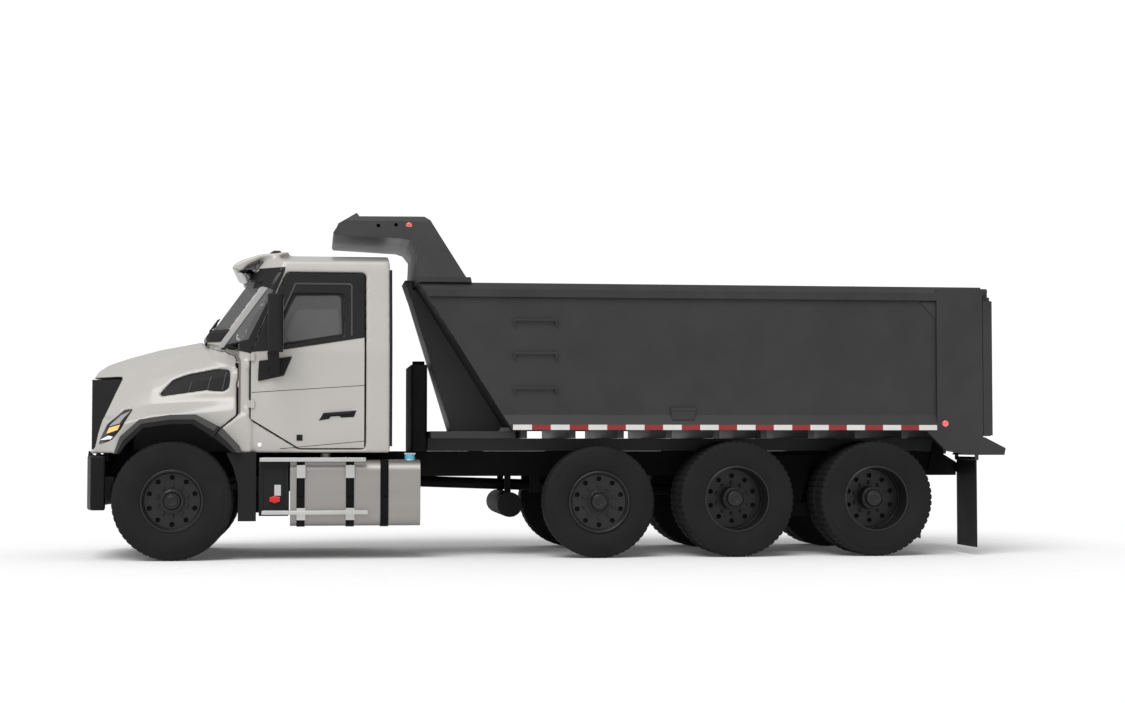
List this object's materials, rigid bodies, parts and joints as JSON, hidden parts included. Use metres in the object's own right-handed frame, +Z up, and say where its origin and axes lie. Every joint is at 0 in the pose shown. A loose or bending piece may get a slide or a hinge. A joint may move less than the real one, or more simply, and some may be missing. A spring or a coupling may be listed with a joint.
{
  "type": "rigid truck",
  "caption": "Rigid dump truck with a tilting steel body, cab guard, front-hinged hood, opening doors, swinging tailgate and telescopic hoist.",
  "frame": {"origin": "on the ground, halfway along and across the whole truck", "axes": "+X towards the tailgate, -X towards the hood, +Z up, driver's side on -Y"},
  "size_m": [8.8578, 2.87, 3.32],
  "materials": {
    "cab_paint": "satin",
    "body_paint": "satin",
    "chassis_black": "matte",
    "black_plastic": "matte",
    "tank_metal": "brushed",
    "tyre_rubber": "matte",
    "rim_black": "gloss",
    "pane": "gloss",
    "lamp": "gloss",
    "lamp_red": "gloss",
    "seat_cloth": "matte",
    "hoist_steel": "satin",
    "engine_grey": "matte"
  },
  "bodies": {
    "chassis": {"frame": "chassis_black", "front_axle": "chassis_black", "leaf_springs": "chassis_black", "pusher_axle": "chassis_black", "drive_axles": "chassis_black", "engine": "engine_grey", "radiator": "chassis_black", "bumper": "black_plastic", "fuel_tank": "tank_metal", "tank_steps": "chassis_black", "battery_box": "black_plastic", "exhaust_box": "tank_metal", "air_tanks": "chassis_black", "hydraulic_tank": "chassis_black", "cab_shell": "cab_paint", "cab_glass": "pane", "seats": "seat_cloth", "dashboard": "black_plastic", "tail_lamps": "lamp_red", "cab_skirts": "black_plastic"},
    "hood": {"hood": "cab_paint", "grille": "black_plastic", "headlamps": "lamp", "arch_flares": "black_plastic", "hood_vents": "black_plastic"},
    "tie_rod": {"tie_rod": "chassis_black"},
    "bed": {"tub": "body_paint", "bed_frame": "body_paint", "cab_guard": "body_paint", "hoist_barrel": "hoist_steel"},
    "tailgate": {"tailgate": "body_paint"},
    "mud_flaps": {"mud_flaps": "black_plastic"},
    "door_left": {"door_left": "cab_paint", "window_left": "pane", "mirror_left": "black_plastic"},
    "knuckle_left": {"knuckle_left": "chassis_black"},
    "door_right": {"door_right": "cab_paint", "window_right": "pane", "mirror_right": "black_plastic"},
    "knuckle_right": {"knuckle_right": "chassis_black"},
    "hoist_stage_1": {"hoist_stage_1": "hoist_steel"},
    "hoist_stage_2": {"hoist_stage_2": "hoist_steel"},
    "hoist_stage_3": {"hoist_stage_3": "hoist_steel"},
    "hoist_stage_4": {"hoist_stage_4": "hoist_steel"},
    "steer_wheel_left": {"steer_tyre_left": "tyre_rubber", "steer_rim_left": "rim_black"},
    "steer_wheel_right": {"steer_tyre_right": "tyre_rubber", "steer_rim_right": "rim_black"},
    "pusher_wheel_left": {"pusher_tyre_left": "tyre_rubber", "pusher_rim_left": "rim_black"},
    "pusher_wheel_right": {"pusher_tyre_right": "tyre_rubber", "pusher_rim_right": "rim_black"},
    "drive_1_wheel_left": {"drive_1_tyre_left": "tyre_rubber", "drive_1_rim_left": "rim_black"},
    "drive_1_wheel_right": {"drive_1_tyre_right": "tyre_rubber", "drive_1_rim_right": "rim_black"},
    "drive_2_wheel_left": {"drive_2_tyre_left": "tyre_rubber", "drive_2_rim_left": "rim_black"},
    "drive_2_wheel_right": {"drive_2_tyre_right": "tyre_rubber", "drive_2_rim_right": "rim_black"}
  },
  "joints": [
    {"name": "steer_left", "type": "hinge", "parent": "chassis", "child": "knuckle_left", "pos_m": [-3.564, -0.96, 0.554], "axis": [0, 0, 1], "range_deg": [-32, 32]},
    {"name": "steer_right", "type": "hinge", "parent": "chassis", "child": "knuckle_right", "pos_m": [-3.564, 0.96, 0.554], "axis": [0, 0, 1], "range_deg": [-32, 32]},
    {"name": "steer_spin_left", "type": "hinge", "parent": "knuckle_left", "child": "steer_wheel_left", "pos_m": [-3.564, -1, 0.554], "axis": [0, 1, 0], "continuous": true},
    {"name": "steer_spin_right", "type": "hinge", "parent": "knuckle_right", "child": "steer_wheel_right", "pos_m": [-3.564, 1, 0.554], "axis": [0, 1, 0], "continuous": true},
    {"name": "pusher_spin_left", "type": "hinge", "parent": "chassis", "child": "pusher_wheel_left", "pos_m": [0.432, -1, 0.533], "axis": [0, 1, 0], "continuous": true},
    {"name": "pusher_spin_right", "type": "hinge", "parent": "chassis", "child": "pusher_wheel_right", "pos_m": [0.432, 1, 0.533], "axis": [0, 1, 0], "continuous": true},
    {"name": "drive_1_spin_left", "type": "hinge", "parent": "chassis", "child": "drive_1_wheel_left", "pos_m": [1.768, -1, 0.556], "axis": [0, 1, 0], "continuous": true},
    {"name": "drive_1_spin_right", "type": "hinge", "parent": "chassis", "child": "drive_1_wheel_right", "pos_m": [1.768, 1, 0.556], "axis": [0, 1, 0], "continuous": true},
    {"name": "drive_2_spin_left", "type": "hinge", "parent": "chassis", "child": "drive_2_wheel_left", "pos_m": [3.14, -1, 0.556], "axis": [0, 1, 0], "continuous": true},
    {"name": "drive_2_spin_right", "type": "hinge", "parent": "chassis", "child": "drive_2_wheel_right", "pos_m": [3.14, 1, 0.556], "axis": [0, 1, 0], "continuous": true},
    {"name": "tie_rod_pivot", "type": "hinge", "parent": "knuckle_left", "child": "tie_rod", "pos_m": [-3.414, -0.96, 0.49], "axis": [0, 0, 1], "range_deg": [-32, 32]},
    {"name": "door_left_swing", "type": "hinge", "parent": "chassis", "child": "door_left", "pos_m": [-2.864, -1.112, 1.5], "axis": [0, 0, -1], "range_deg": [0, 70]},
    {"name": "door_right_swing", "type": "hinge", "parent": "chassis", "child": "door_right", "pos_m": [-2.864, 1.112, 1.5], "axis": [0, 0, 1], "range_deg": [0, 70]},
    {"name": "hood_tilt", "type": "hinge", "parent": "chassis", "child": "hood", "pos_m": [-4.394, 0, 1], "axis": [0, -1, 0], "range_deg": [0, 65]},
    {"name": "bed_tilt", "type": "hinge", "parent": "chassis", "child": "bed", "pos_m": [3.996, 0, 1.06], "axis": [0, 1, 0], "range_deg": [0, 45]},
    {"name": "hoist_slide_1", "type": "slide", "parent": "bed", "child": "hoist_stage_1", "axis": [0.3827, 0, -0.9239], "range_m": [0, 0.89]},
    {"name": "hoist_slide_2", "type": "slide", "parent": "hoist_stage_1", "child": "hoist_stage_2", "axis": [0.3827, 0, -0.9239], "range_m": [0, 0.89]},
    {"name": "hoist_slide_3", "type": "slide", "parent": "hoist_stage_2", "child": "hoist_stage_3", "axis": [0.3827, 0, -0.9239], "range_m": [0, 0.89]},
    {"name": "hoist_slide_4", "type": "slide", "parent": "hoist_stage_3", "child": "hoist_stage_4", "axis": [0.3827, 0, -0.9239], "range_m": [0, 0.89]},
    {"name": "tailgate_swing", "type": "hinge", "parent": "bed", "child": "tailgate", "pos_m": [4.244, 0, 2.565], "axis": [0, -1, 0], "range_deg": [0, 85]},
    {"name": "flap_swing", "type": "hinge", "parent": "bed", "child": "mud_flaps", "pos_m": [4.136, 0, 0.94], "axis": [0, 1, 0], "range_deg": [-45, 0]}
  ],
  "couplings": [
    {"joint": "steer_right", "follows": "steer_left", "ratio": 1},
    {"joint": "tie_rod_pivot", "follows": "steer_left", "ratio": -1},
    {"joint": "flap_swing", "follows": "bed_tilt", "ratio": -1},
    {"joint": "hoist_slide_1", "follows": "bed_tilt", "m_per_rad": 1.1315},
    {"joint": "hoist_slide_2", "follows": "bed_tilt", "m_per_rad": 1.1315},
    {"joint": "hoist_slide_3", "follows": "bed_tilt", "m_per_rad": 1.1315},
    {"joint": "hoist_slide_4", "follows": "bed_tilt", "m_per_rad": 1.1315}
  ]
}
